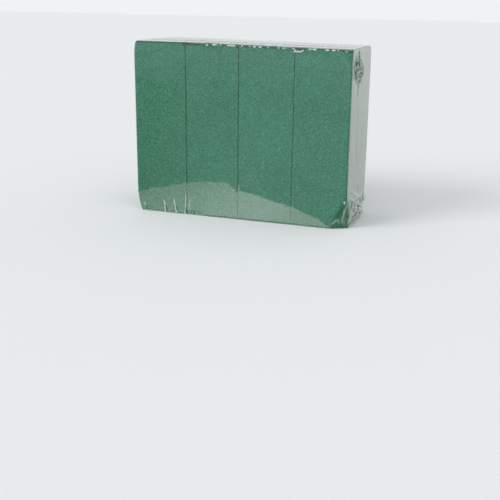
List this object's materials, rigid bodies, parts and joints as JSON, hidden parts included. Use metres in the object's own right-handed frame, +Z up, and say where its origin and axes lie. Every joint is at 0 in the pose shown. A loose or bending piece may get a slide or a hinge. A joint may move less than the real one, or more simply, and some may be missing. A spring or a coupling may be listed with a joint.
{
  "type": "shrink-wrapped floral foam brick pack",
  "caption": "Row of dry green floral foam bricks standing on end, shrink-wrapped together in clear film with a trim seal, gathered ears and a vent in one end.",
  "frame": {"origin": "centre of the pack's footprint, on the face that it stands on", "axes": "+X along the row of bricks, towards the end with the vent; +Y from front to back; +Z up"},
  "size_m": [0.305, 0.1108, 0.2316],
  "materials": {
    "floral_foam": "dry fine-celled phenolic foam, fully matte",
    "clear_film": "clear glossy shrink film",
    "gathered_film": "milky crumpled and fused shrink film"
  },
  "bodies": {
    "root": {"foam_brick_1": "floral_foam", "foam_brick_2": "floral_foam", "foam_brick_3": "floral_foam", "foam_brick_4": "floral_foam", "shrink_film": "clear_film", "end_seal_left": "gathered_film", "end_seal_right": "gathered_film", "top_seal": "gathered_film", "ear_left_bottom": "gathered_film", "ear_left_top": "gathered_film", "ear_right_bottom": "gathered_film"}
  },
  "joints": []
}
